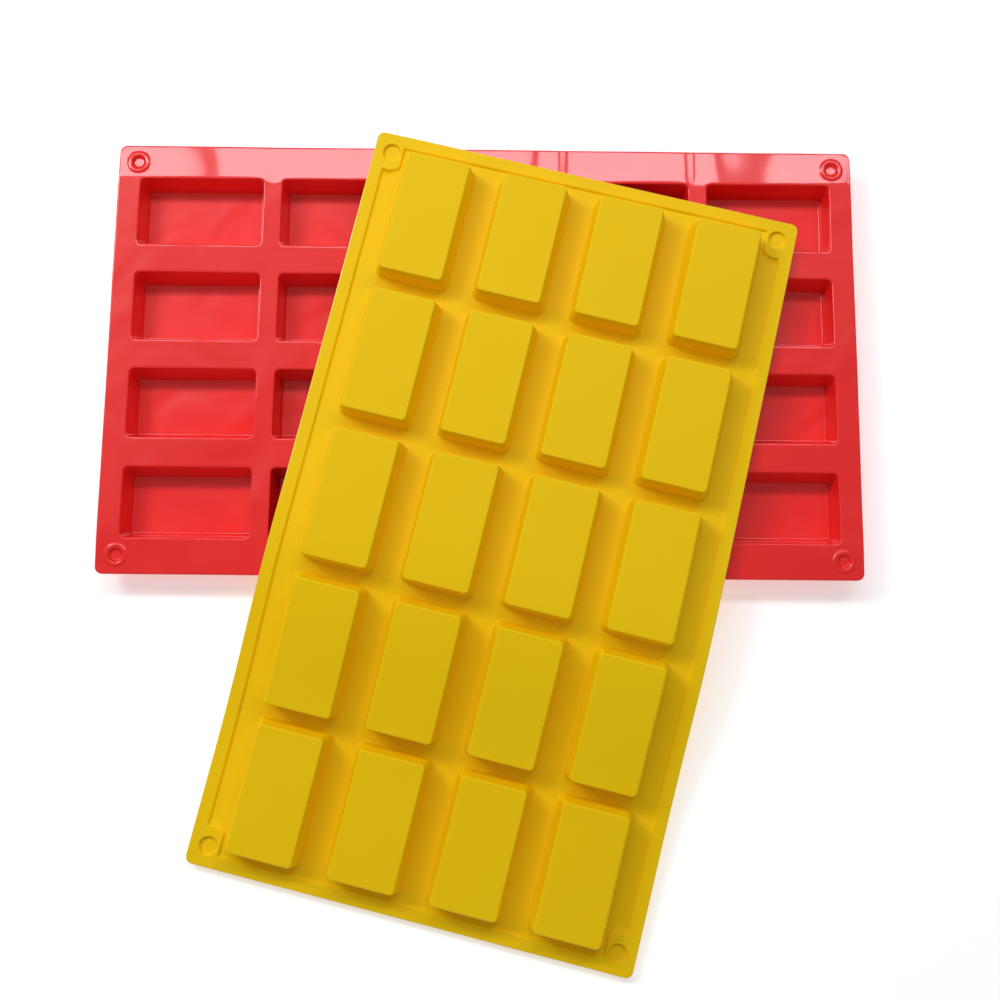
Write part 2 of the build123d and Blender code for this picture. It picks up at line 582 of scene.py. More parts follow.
@dataclass(frozen=True)
class Border:
    """Cross-section of the tray's edge: distance in from the edge, and height.

    The top is level, the outer edge is rounded above and below, and the thick band below
    ends in a soft step up to the thin sheet.

    Attributes:
        sizes: the tray's sizes.
        top_radius: radius of the edge above.
        low_radius: radius of the edge below.
        even_from: distance from which the points lie evenly spaced up to the cup cells.
        top_stops: distances of the points of the mouth side nearer than that.
        band_stops: distances of the points of the thick band.
        sheet_stops: distances of the points between its step and the even ones.
        even_stops: number of those even points.
        step_stops: number of points across the step.
        edge_stops: number of points on each rounded edge.
    """

    sizes: TraySizes
    top_radius: float = 0.5
    low_radius: float = 0.4
    even_from: float = 7.4
    top_stops: tuple[float, ...] = (6.5, 5.5, 4.5, 3.5, 2.5, 1.6, 0.9)
    band_stops: tuple[float, ...] = (0.8, 1.6, 2.6, 3.6, 4.4)
    sheet_stops: tuple[float, ...] = (5.9, 6.6)
    even_stops: int = 6
    step_stops: int = 6
    edge_stops: int = 5

    def band_height(self, distance: Array) -> Array:
        """Height of the underside: the band's level, eased to the sheet's over the step.

        Args:
            distance: signed distance out of the thick band.

        Returns:
            The heights.
        """
        s = self.sizes
        return -s.sheet - (s.rim - s.sheet) * smooth_step(0.5 - distance / s.step_width)

    def top(self) -> Array:
        """Level part of the mouth side, from the cups to the rounded edge."""
        inner = np.linspace(self.inner_reach(), self.even_from, self.even_stops)
        distance = np.concatenate([inner, self.top_stops, [self.top_radius]])
        return np.stack([distance, np.zeros_like(distance)], axis=1)

    def skirt(self) -> Array:
        """Rounded outer edge, from the mouth side round to the underside."""
        rim, above, below = self.sizes.rim, self.top_radius, self.low_radius
        angle = np.linspace(0.0, math.pi / 2, self.edge_stops)
        high = np.stack([above * (1 - np.sin(angle)), -above * (1 - np.cos(angle))], axis=1)
        low = np.stack([below * (1 - np.cos(angle)), -rim + below * (1 - np.sin(angle))], axis=1)
        middle = np.array([[0.0, -(above + rim - below) / 2]])
        return np.concatenate([high, middle, low])

    def under(self) -> Array:
        """Underside, from the rounded edge over the thick band to the thin sheet."""
        s = self.sizes
        band = [self.low_radius, *self.band_stops]
        step = s.rim_width + s.step_width * np.linspace(-0.5, 0.5, self.step_stops)
        inner = np.linspace(self.even_from, self.inner_reach(), self.even_stops)
        distance = np.concatenate([band, step, self.sheet_stops, inner])
        return np.stack([distance, self.band_height(distance - s.rim_width)], axis=1)

    def inner_reach(self) -> float:
        """Distance from the tray's long edge to the outer edge of the cup cells."""
        s = self.sizes
        return s.side_line - (s.cup_lines[-1] + s.side_reach)

    def end_reach(self) -> float:
        """Distance from the tray's short edge to the outer edge of the cup cells."""
        s = self.sizes
        return s.end_line - (s.rows - 1) / 2 * s.row_pitch - s.end_reach

    def sections(self) -> list[tuple[Array, Face]]:
        """The three stretches of the section: top, outer edge and underside."""
        return [(self.top(), Face.MOUTH), (self.skirt(), Face.MOUTH), (self.under(), Face.UNDER)]

    def along_side(self, x: Array) -> list[Patch]:
        """Border beside a row of cups, at +Y: the section carried along X.

        Args:
            x: places of the section.

        Returns:
            Top, outer edge and underside.
        """
        made = []
        for section, face in self.sections():
            y, z = self.sizes.side_line - section[:, 0], section[:, 1]
            grid = np.stack(np.broadcast_arrays(x[None, :], y[:, None], z[:, None]), axis=2)
            made.append(Patch(grid, face))
        return made

    def along_end(self, y: Array) -> list[Patch]:
        """Border beyond the last row of cups, at +X: the section carried along Y.

        Args:
            y: places of the section.

        Returns:
            Top, outer edge and underside.
        """
        made = []
        for section, face in self.sections():
            section = section[section[:, 0] < self.end_reach() + SLACK]
            x, z = self.sizes.end_line - section[:, 0], section[:, 1]
            grid = np.stack(np.broadcast_arrays(x[:, None], y[None, :], z[:, None]), axis=2)
            made.append(Patch(grid, face))
        return made


@dataclass(frozen=True)
class CornerEye:
    """The tray's corner at +X +Y, with its raised ring, blind hole, pocket and boss.

    Attributes:
        sizes: the tray's sizes.
        border: the section of the tray's edge.
        inner_x: places of the points on the edge shared with the cup cell.
        ring_reach: radius where the level corner meets the raised ring.
        pocket_reach: radius where the boss meets the pocket.
        path_stops: number of points up the short edge, round the corner and along the long edge.
        mouth_rings: number of rings of the level corner.
        under_rings: number of rings of the band and boss.
    """

    sizes: TraySizes
    border: Border
    inner_x: Array
    ring_reach: float = 4.9
    pocket_reach: float = 3.8
    path_stops: tuple[int, int, int] = (9, 9, 12)
    mouth_rings: int = 8
    under_rings: int = 24

    @property
    def middle(self) -> Array:
        """Middle of the eye."""
        s = self.sizes
        return np.array([s.end_line - s.eye_from_end, s.side_line - s.eye_from_side])

    def outer_path(self) -> tuple[Array, Array]:
        """Outer line of the corner: up the short edge, round the corner, along the long edge.

        Returns:
            The points, and the outward direction at each.
        """
        s = self.sizes
        start_y = s.side_line - self.border.inner_reach()
        centre = np.array([s.end_line, s.side_line]) - s.corner_radius
        rise_stops, arc_stops, run_stops = self.path_stops
        rise = np.linspace(start_y, centre[1], rise_stops)
        angle = np.linspace(0.0, math.pi / 2, arc_stops)[1:-1]
        run = np.linspace(centre[0], self.inner_x[0], run_stops)
        right = np.stack([np.full_like(rise, s.end_line), rise], axis=1)
        way = np.stack([np.cos(angle), np.sin(angle)], axis=1)
        arc = centre + s.corner_radius * way
        top = np.stack([run, np.full_like(run, s.side_line)], axis=1)
        outward = [np.tile([1.0, 0.0], (len(right), 1)), way, np.tile([0.0, 1.0], (len(top), 1))]
        return np.concatenate([right, arc, top]), np.concatenate(outward)

    def outline(self, section: Array, low_first: bool) -> Array:
        """Outline of one level side of the corner, anticlockwise from the cup cell's edge.

        Args:
            section: the border's section on that side.
            low_first: whether the section runs from the edge inwards.

        Returns:
            Points by 3.
        """
        s = self.sizes
        inward = section if low_first else section[::-1]
        points, outward = self.outer_path()
        outer = points - outward * inward[0, 0]
        outer = np.concatenate([outer, np.full((len(outer), 1), inward[0, 1])], axis=1)
        level = -s.sheet if low_first else 0.0
        y = s.side_line - self.border.inner_reach()
        still = np.ones_like(self.inner_x)
        cell = np.stack([self.inner_x, y * still, level * still], axis=1)
        near = inward[(inward[:, 0] < self.border.end_reach() - SLACK)][::-1][:-1]
        end = np.stack([s.end_line - near[:, 0], np.full(len(near), y), near[:, 1]], axis=1)
        down = inward[1:-1]
        left_x = np.full(len(down), self.inner_x[0])
        left = np.stack([left_x, s.side_line - down[:, 0], down[:, 1]], axis=1)
        return np.concatenate([cell, end, outer, left])

    def directions(self, outline: Array) -> Array:
        """Unit directions from the eye's middle to the points of an outline.

        Args:
            outline: the outline, points by 3.

        Returns:
            Points by 2.
        """
        out = outline[:, :2] - self.middle
        return out / np.linalg.norm(out, axis=1, keepdims=True)

    def towards_eye(self, outline: Array, radius: float, steps: int) -> Array:
        """Rings from an outline to a circle round the eye, along straight lines.

        Args:
            outline: the outline, points by 3.
            radius: radius of the circle.
            steps: number of rings, with the outline and the circle.

        Returns:
            Rings by points by 2.
        """
        circle = self.middle + radius * self.directions(outline)
        share = np.linspace(0.0, 1.0, steps)[:, None, None]
        return outline[None, :, :2] * (1 - share) + circle[None] * share

    def round_rings(self, outline: Array, section: Array) -> Array:
        """Circles round the eye at the radii and heights of a section.

        Args:
            outline: the outline that gives the direction of each point.
            section: rows of (radius, height).

        Returns:
            Rings by points by 3.
        """
        flat = self.middle + section[:, 0, None, None] * self.directions(outline)[None]
        level = np.broadcast_to(section[:, 1, None, None], flat.shape[:2] + (1,))
        return np.concatenate([flat, level], axis=2)

    def mouth_side(self) -> Patch:
        """Level corner, a rounded ring round the hole, and the thin skin that closes it."""
        outline = self.outline(self.border.top(), False)
        flat = self.towards_eye(outline, self.ring_reach, self.mouth_rings)
        flat = np.concatenate([flat, np.zeros(flat.shape[:2] + (1,))], axis=2)
        rings = self.round_rings(outline, EYE_RING_SECTION)
        return Patch(np.concatenate([flat, rings]), Face.MOUTH, loop=True)

    def under_side(self) -> Patch:
        """Band and boss of the corner, with the blind pocket under the eye."""
        s = self.sizes
        outline = self.outline(self.border.under(), True)
        flat = self.towards_eye(outline, self.pocket_reach, self.under_rings)
        x, y = flat[..., 0], flat[..., 1]
        band = np.minimum(s.end_line - x, s.side_line - y) - s.rim_width
        slot_x = np.clip(x, self.middle[0] - s.boss_reach, self.middle[0])
        boss = np.hypot(x - slot_x, y - self.middle[1]) - s.boss_radius
        pad = np.minimum(boss, self.middle[0] - s.boss_reach - x)
        pad = np.maximum(pad, s.side_line - self.border.inner_reach() + s.boss_side - y)
        level = self.border.band_height(np.minimum(band, pad))
        level[0] = outline[:, 2]
        flat = np.concatenate([flat, level[..., None]], axis=2)
        rings = self.round_rings(outline, EYE_POCKET_SECTION)
        return Patch(np.concatenate([flat, rings]), Face.UNDER, loop=True)

    def edge(self) -> Patch:
        """Rounded outer edge, carried round the corner."""
        points, outward = self.outer_path()
        section = self.border.skirt()
        flat = points[None] - outward[None] * section[:, 0, None, None]
        level = np.broadcast_to(section[:, 1, None, None], flat.shape[:2] + (1,))
        return Patch(np.concatenate([flat, level], axis=2), Face.MOUTH)

    def patches(self) -> list[Patch]:
        """All surfaces of the corner."""
        return [self.mouth_side(), self.under_side(), self.edge()]


# ---------------------------------------------------------------- how a tray lies


@dataclass(frozen=True)
class Lie:
    """Where a tray lies and how its soft sheet bends and ripples.

    Attributes:
        sizes: the tray's sizes.
        place: turn and shift from the tray's flat frame to the part's frame, in mm.
        folds: rest angle of each flex web in degrees, positive away from the mouths.
        bow: turn of each end about the vertical, from lying slightly curved, in radians.
        ease: half length of sheet over which a fold is spread, in mm.
        ripple: height of the ripples of the sheet, in mm.
        ripple_gain: factor that brings the sum of their waves to that height.
        waves: number of waves in the sum.
        wave_lengths: shortest and longest of those waves, in mm.
        droop: slope by which the borders along the sides hang, as a ratio.
        droop_start: distance out from the mouths at which they begin to hang, in mm.
        droop_ease: distance over which the slope is eased in, in mm.
        web_lead: how much nearer the cups it begins beside a web, in mm.
        web_spread: how far along the tray from a web it does so, in mm.
        seed: start of the random draw of the ripples.
        step: step of the sum along the bent middle line, in mm.
    """

    sizes: TraySizes
    place: Matrix
    folds: tuple[float, ...] = (0.0, 0.0, 0.0, 0.0)
    bow: float = 0.0
    ease: float = 26.0
    ripple: float = 0.12
    ripple_gain: float = 2.2
    waves: int = 9
    wave_lengths: tuple[float, float] = (28.0, 95.0)
    droop: float = 0.0
    droop_start: float = 0.6
    droop_ease: float = 0.6
    web_lead: float = 3.0
    web_spread: float = 4.0
    seed: int = 3
    step: float = 0.1

    def ripples(self, x: Array, y: Array) -> Array:
        """Sum of a few long sine waves with random directions, lengths and starts.

        Args:
            x: places along the tray.
            y: places across the tray.

        Returns:
            Height of the ripples at each place.
        """
        draw = np.random.default_rng(self.seed)
        shortest, longest = self.wave_lengths
        length = draw.uniform(shortest, longest, self.waves)
        heading = draw.uniform(0.0, math.pi, self.waves)
        start = draw.uniform(0.0, 2 * math.pi, self.waves)
        weight = (length / longest) / np.sqrt(self.waves)
        way = x[:, None] * np.cos(heading) + y[:, None] * np.sin(heading)
        phase = way * 2 * math.pi / length + start
        return self.ripple * self.ripple_gain * (np.sin(phase) * weight).sum(axis=1)

    def sag(self, x: Array, y: Array) -> Array:
        """Fall of the borders along the sides, outwards from the cups.

        It begins a little earlier beside the webs, and its slope is eased in over the
        first stretch: distance less reach times one less the exponential of minus
        distance over reach.

        Args:
            x: places along the tray.
            y: places across the tray.

        Returns:
            How far each place has sunk.
        """
        s = self.sizes
        lines = np.array(s.fold_lines)
        nearness = np.exp(-(((x[:, None] - lines) / self.web_spread) ** 2))
        early = (self.web_lead * nearness).sum(axis=1)
        start = s.cup_lines[-1] + s.mouth[1] / 2 + self.droop_start
        out = np.maximum(np.abs(y) - start + early, 0.0)
        ease = self.droop_ease
        return self.droop * (out - ease * (1 - np.exp(-out / ease)))

    def middle_line(self, x: Array) -> tuple[Array, Array, Array]:
        """The bent middle line of the sheet: its slope changes smoothly across each fold.

        The slope at a place is the sum of the folds passed on the way from the middle row,
        each eased in over its stretch of sheet, and the line is the running sum of its
        steps along that slope.

        Args:
            x: places along the flat sheet.

        Returns:
            Forward place, height and slope angle at each place.
        """
        reach = self.sizes.end_line + 1.0
        place = np.arange(-reach, reach + self.step / 2, self.step)
        slope = np.zeros_like(place)
        for line, fold in zip(self.sizes.fold_lines, self.folds):
            passed = (place - line) if line > 0 else (line - place)
            share = smooth_step(0.5 + passed / (2 * self.ease))
            slope += math.radians(fold if line > 0 else -fold) * share
        half = (slope[1:] + slope[:-1]) / 2
        forward = np.concatenate([[0.0], np.cumsum(self.step * np.cos(half))])
        height = np.concatenate([[0.0], np.cumsum(-self.step * np.sin(half))])
        forward -= np.interp(0.0, place, forward)
        height -= np.interp(0.0, place, height)
        return tuple(np.interp(x, place, values) for values in (forward, height, slope))

    def lay(self, flat: Array) -> Array:
        """Ripple, bend and place points of the flat tray.

        Ripples fade out towards the cup bases. The bow turns each cross-section by a share
        of the end's turn. A point keeps its distance from the middle line of the sheet,
        measured square to the bent line.

        Args:
            flat: points in the tray's flat frame, in mm.

        Returns:
            Points in the part's frame, in metres.
        """
        x, y, z = flat.T
        fade = np.clip(1.0 + z / self.sizes.height, 0.0, 1.0)
        z = z + self.ripples(x, y) * fade - self.sag(x, y)
        heading = self.bow * x / self.sizes.end_line
        x, y = x - y * np.sin(heading), y * np.cos(heading) + x * heading / 2
        forward, height, slope = self.middle_line(x)
        above = z - self.sizes.hinge_height
        bent = np.stack([
            forward + above * np.sin(slope),
            y,
            self.sizes.hinge_height + height + above * np.cos(slope),
        ], axis=1)
        place = np.array(self.place)
        return (bent @ place[:3, :3].T + place[:3, 3]) * MM


def finish_skin(mesh: bpy.types.Mesh, lie: Lie, materials: Materials) -> bpy.types.Object:
    """Lay a flat skin in place and make it an object at the origin.

    Args:
        mesh: the flat skin, in mm.
        lie: how its tray lies.
        materials: finishes of the mouth side and the underside.

    Returns:
        The new object.
    """
    flat = np.empty(len(mesh.vertices) * 3)
    mesh.vertices.foreach_get("co", flat)
    placed = lie.lay(flat.reshape(-1, 3))
    mesh.vertices.foreach_set("co", placed.astype(np.float32).ravel())
    mesh.update()
    for material in materials:
        mesh.materials.append(material)
    piece = bpy.data.objects.new(mesh.name, mesh)
    bpy.context.scene.collection.objects.link(piece)
    return piece


# ---------------------------------------------------------------- rows and webs


@dataclass
class Row:
    """One row of cups of a tray: the stiff strip between two flex webs.

    Attributes:
        sizes: the tray's sizes.
        number: number of the row, from 1 at the tray's -X end.
        long_steps: number of steps along a cup's long side.
        short_steps: number of steps along its short side.
        close_steps: number of closer steps beside a corner eye, in place of the last two.
    """

    sizes: TraySizes
    number: int
    long_steps: int = 20
    short_steps: int = 10
    close_steps: int = 7

    @property
    def cut(self) -> float:
        """Distance from the middle of a row to its cut plane beside a web."""
        return (self.sizes.row_pitch - self.sizes.flex_width) / 2

    @property
    def even_stops(self) -> Array:
        """Evenly spaced places along a long side, from -1 to 1."""
        return np.linspace(-1.0, 1.0, self.long_steps + 1)

    def long_stops(self, at_end: bool) -> Array:
        """Places of the points along the cups' long sides, closer together by a corner eye.

        Args:
            at_end: whether the row is the last one.

        Returns:
            Places from -1 to 1, without the ends.
        """
        even = self.even_stops
        if not at_end:
            return even[1:-1]
        return np.concatenate([even[1:-3], np.linspace(even[-3], 1.0, self.close_steps + 1)[:-1]])

    def cell(self, cup: int, at_end: bool) -> CupCell:
        """Cell of one cup, cut short beside the border.

        Args:
            cup: number of the cup, from 0.
            at_end: whether the row is the last one.

        Returns:
            The cell.
        """
        s = self.sizes
        half = s.cup_pitch / 2
        south = s.side_reach if cup == 0 else half
        north = s.side_reach if cup == s.cups - 1 else half
        east = s.end_reach if at_end else self.cut
        short = np.linspace(-1.0, 1.0, self.short_steps + 1)[1:-1]
        return CupCell(s, (self.cut, east, south, north), self.long_stops(at_end), short)

    def inner_patches(self) -> list[Patch]:
        """Surfaces of a row between two webs, centred on X = 0."""
        s = self.sizes
        made = []
        for cup, y in enumerate(s.cup_lines):
            made += self.cell(cup, False).patches(0.0, y)
        x = self.cell(s.cups - 1, False).edge_points(1, s.side_reach)
        side = Border(s).along_side(np.clip(x, -self.cut, self.cut))
        return made + side + mirrored(side)

    def end_patches(self) -> list[Patch]:
        """Surfaces of the last row with its border and corner eyes, at the +X end."""
        s = self.sizes
        row_x = (s.rows - 1) / 2 * s.row_pitch
        border = Border(s)
        made = []
        heights = []
        for cup, y in enumerate(s.cup_lines):
            cell = self.cell(cup, True)
            made += cell.patches(row_x, y)
            heights.append(cell.edge_points(0, s.end_reach) + y)
        corner_cell = self.cell(s.cups - 1, True)
        split = corner_cell.straight[0] * self.even_stops[-3]
        x = corner_cell.edge_points(1, s.side_reach)
        side = border.along_side(row_x + x[x < split + SLACK])
        eye = CornerEye(s, border, row_x + x[x > split - SLACK]).patches()
        end = border.along_end(np.unique(np.round(np.concatenate(heights), 7)))
        return made + end + side + mirrored(side) + eye + mirrored(eye)

    def patches(self) -> list[Patch]:
        """Surfaces of the row at its place in the flat tray."""
        s = self.sizes
        if self.number == s.rows:
            return self.end_patches()
        if self.number == 1:
            return half_turned(self.end_patches())
        shift = np.array([(self.number - 1 - s.rows // 2) * s.row_pitch, 0.0, 0.0])
        return [replace(patch, points=patch.points + shift) for patch in self.inner_patches()]

    def build(self, tray: str, lie: Lie, materials: Materials) -> bpy.types.Object:
        """Make the row's skin, in place of its CAD solid.

        Args:
            tray: name of the tray.
            lie: how the tray lies.
            materials: finishes of the mouth side and the underside.

        Returns:
            The skin.
        """
        node = f"{tray}_row_{self.number}"
        skin = finish_skin(weld(f"{node}_silicone", self.patches()), lie, materials)
        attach(skin, node)
        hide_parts(node)
        return skin


@dataclass
class Web:
    """One flex web: the thin strip between two rows that bends when the tray is flexed.

    Attributes:
        sizes: the tray's sizes.
        number: number of the web, from 1 at the tray's -X end.
        tuck: how far each end runs on under the skin of its row.
        sink: how far the tucked ends lie under that skin.
        steps: number of steps across the tray between its borders.
        stops: number of sections between its cut planes.
    """

    sizes: TraySizes
    number: int
    tuck: float = 0.25
    sink: float = 0.03
    steps: int = 40
    stops: int = 9

    def whole_section(self, edge: Array, level: float) -> Array:
        """One side of the web's section from -Y to +Y: both borders and the sheet between.

        Args:
            edge: rows of distance in from the edge and height, from the sheet outwards.
            level: height of the sheet.

        Returns:
            Rows of (Y, height).
        """
        s = self.sizes
        share = np.linspace(-1.0, 1.0, self.steps + 1)[1:-1]
        y = share * (s.side_line - Border(s).inner_reach())
        middle = np.stack([y, np.full_like(y, level)], axis=1)
        right = np.stack([s.side_line - edge[:, 0], edge[:, 1]], axis=1)
        left = right[::-1] * np.array([-1.0, 1.0])
        return np.concatenate([left, middle, right])

    def sections(self) -> list[tuple[Array, Face]]:
        """Mouth side with the outer edge, and underside, each from -Y to +Y."""
        border = Border(self.sizes)
        mouth = np.concatenate([border.top(), border.skirt()[1:]])
        return [
            (self.whole_section(mouth, 0.0), Face.MOUTH),
            (self.whole_section(border.under()[::-1], -self.sizes.sheet), Face.UNDER),
        ]

    def strip(self, stops: Array, drawn: Array) -> list[Patch]:
        """The section carried along X, drawn in towards the middle of the sheet.

        Args:
            stops: places of the sections from the web's middle.
            drawn: how far each section is drawn in.

        Returns:
            Mouth side and underside of the strip.
        """
        s = self.sizes
        line = s.fold_lines[self.number - 1]
        middle = s.hinge_height
        made = []
        for curve, face in self.sections():
            y = curve[None, :, 0] * (1 - drawn[:, None] / s.side_line)
            z = middle + (curve[None, :, 1] - middle) * (1 - drawn[:, None] * 2 / s.sheet)
            x = np.broadcast_to(line + stops[:, None], y.shape)
            made.append(Patch(np.stack([x, y, z], axis=2), face))
        return made

    def patches(self) -> list[Patch]:
        """The web between its cut planes, and the ends tucked a little under the rows."""
        half = self.sizes.flex_width / 2
        made = self.strip(np.linspace(-half, half, self.stops), np.zeros(self.stops))
        for side in (-1, 1):
            ends = side * np.array([half, half + OVERRUN, half + self.tuck])
            made += self.strip(ends, np.array([0.0, 0.0, self.sink]))
        return made

    def build(self, tray: str, lie: Lie, materials: Materials) -> bpy.types.Object:
        """Make the web's skin, laid with the tray's rest folds, in place of its CAD solid.

        Args:
            tray: name of the tray.
            lie: how the tray lies.
            materials: finishes of the mouth side and the underside.

        Returns:
            The skin.
        """
        s = self.sizes
        node = f"{tray}_web_{self.number}"
        skin = finish_skin(weld(f"{node}_silicone", self.patches()), lie, materials)
        line = s.fold_lines[self.number - 1]
        half = s.flex_width / 2
        ends = lie.lay(np.array([[line + way * half, 0.0, s.hinge_height] for way in (-1, 1)]))
        bodies = (f"{tray}_row_{self.number}", f"{tray}_row_{self.number + 1}")
        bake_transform(skin)
        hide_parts(node)
        return skin


@dataclass
class Tray:
    """One mould tray: five rows of cups joined by four flex webs.

    Attributes:
        name: name of the tray, as its CAD nodes start.
        colour: its silicone; not used.
        lie: how it lies.
        sizes: its sizes.
        pieces: its finished skins.
    """

    name: str
    colour: Colour
    lie: Lie
    sizes: TraySizes = field(default_factory=TraySizes)
    pieces: list[bpy.types.Object] = field(default_factory=list)

    def build(self, materials: Materials) -> None:
        """Make all skins of the tray.

        Args:
            materials: finishes of the mouth side and the underside.
        """
        rows = [Row(self.sizes, number) for number in range(1, self.sizes.rows + 1)]
        webs = [Web(self.sizes, number) for number in range(1, self.sizes.rows)]
        for part in (*rows, *webs):
            self.pieces.append(part.build(self.name, self.lie, materials))
        for piece in self.pieces:
            log.info("%s is in place", piece.name)


# ---------------------------------------------------------------- materials


class Signal:
    """A shader socket that takes part in sums: each operator adds one Math node.

    The signal stands on the left of each operator, a value or another signal on the right.
    """

    def __init__(self, graph: "Graph", socket: bpy.types.NodeSocket) -> None:
        """Wrap a socket of a graph.

        Args:
            graph: the graph that new nodes go into.
            socket: an output of one of its nodes.
        """
        self.graph = graph
        self.socket = socket

    def combine(self, operation: str, first: Any, second: Any) -> "Signal":
        """Add a Math node.

        Args:
            operation: the node's operation.
            first: its first value or signal.
            second: its second value or signal.

        Returns:
            The node's result.
        """
        return self.graph.add("ShaderNodeMath", {"operation": operation}, {0: first, 1: second})

    def __add__(self, other: Any) -> "Signal":
        """Sum of this signal and a value or a signal."""
        return self.combine("ADD", self, other)

    def __sub__(self, other: Any) -> "Signal":
        """This signal less a value or a signal."""
        return self.combine("SUBTRACT", self, other)

    def __mul__(self, other: Any) -> "Signal":
        """Product of this signal and a value or a signal."""
        return self.combine("MULTIPLY", self, other)


class Graph:
    """Node tree of one material, with its surface shader."""

    def __init__(self, name: str) -> None:
        """Start a material with a Principled shader.

        Args:
            name: name of the material.
        """
        self.material = bpy.data.materials.new(name)
        self.material.use_nodes = True
        self.tree = self.material.node_tree
        self.shader = self.tree.nodes["Principled BSDF"]

    def add(
        self,
        kind: str,
        settings: dict[str, Any],
        inputs: dict[str | int, Any],
        output: str | int = 0,
    ) -> Signal:
        """Add any node: its settings first, then the values or links of its sockets.

        Args:
            kind: the node's type.
            settings: values of the node's own properties, and "stops" for a ramp.
            inputs: value or signal for each socket, by name or number.
            output: the socket to go on from, by name or number.

        Returns:
            That output as a signal.
        """
        node = self.tree.nodes.new(kind)
        stops = settings.get("stops")
        for key, value in settings.items():
            if key != "stops":
                setattr(node, key, value)
        if stops is not None:
            ramp = node.color_ramp
            while len(ramp.elements) < len(stops):
                ramp.elements.new(0.5)
            for element, (position, colour) in zip(ramp.elements, stops):
                element.position = position
                element.color = colour
        for key, value in inputs.items():
            self.feed(node.inputs[key], value)
        return Signal(self, node.outputs[output])

    def coordinates(self) -> Signal:
        """Object coordinates, in metres."""
        return self.add("ShaderNodeTexCoord", {}, {}, "Object")

    def mix(self, share: Any, first: Rgb, second: Rgb, **settings: Any) -> Signal:
        """Blend of two colours.

        Args:
            share: share of the second colour, from 0 to 1.
            first: colour at 0.
            second: colour at 1.
            settings: values of the node's own properties.

        Returns:
            The blended colour.
        """
        inputs = {0: share, 6: (*first, 1.0), 7: (*second, 1.0)}
        return self.add("ShaderNodeMix", {"data_type": "RGBA", **settings}, inputs, 2)

    def bump(self, height: Signal, distance: float, **inputs: Any) -> Signal:
        """Normal tilted by a height.

        Args:
            height: the height, from 0 to 1.
            distance: what a height of 1 stands for, in metres.
            inputs: further sockets, such as the normal to start from.

        Returns:
            The tilted normal.
        """
        inputs = {"Strength": 1.0, "Distance": distance, "Height": height, **inputs}
        return self.add("ShaderNodeBump", {}, inputs)

    def feed(self, socket: bpy.types.NodeSocket, value: Any) -> None:
        """Set a socket to a value, or link a signal to it.

        Args:
            socket: the socket.
            value: a value or a signal.
        """
        if isinstance(value, Signal):
            self.tree.links.new(value.socket, socket)
        else:
            socket.default_value = value

    def surface(self, **inputs: Any) -> None:
        """Set the shader's sockets.

        Args:
            inputs: a value or a signal for each socket, named with underscores for spaces.
        """
        for key, value in inputs.items():
            self.feed(self.shader.inputs[key.replace("_", " ")], value)


@dataclass(frozen=True)
class Noise:
    """Fractal noise on object coordinates.

    Attributes:
        scale: cells per metre.
        detail: number of finer layers.
        distortion: how much the pattern swirls.
    """

    scale: float
    detail: float
    distortion: float = 0.0

    def add(self, graph: Graph, place: Signal) -> Signal:
        """Add the noise to a material.

        Args:
            graph: the material's graph.
            place: the coordinates.

        Returns:
            The noise, from 0 to 1.
        """
        inputs = {
            "Vector": place,
            "Scale": self.scale,
            "Detail": self.detail,
            "Distortion": self.distortion,
        }
        return graph.add("ShaderNodeTexNoise", {"noise_dimensions": "3D"}, inputs)


PATCHES = Noise(14.0, 3.0, 0.4)
SPECKS = Noise(420.0, 4.0)
CLOUDS = Noise(60.0, 3.0, 0.2)
WAVES = Noise(30.0, 1.0, 0.8)
GRAIN = Noise(1900.0, 2.0)


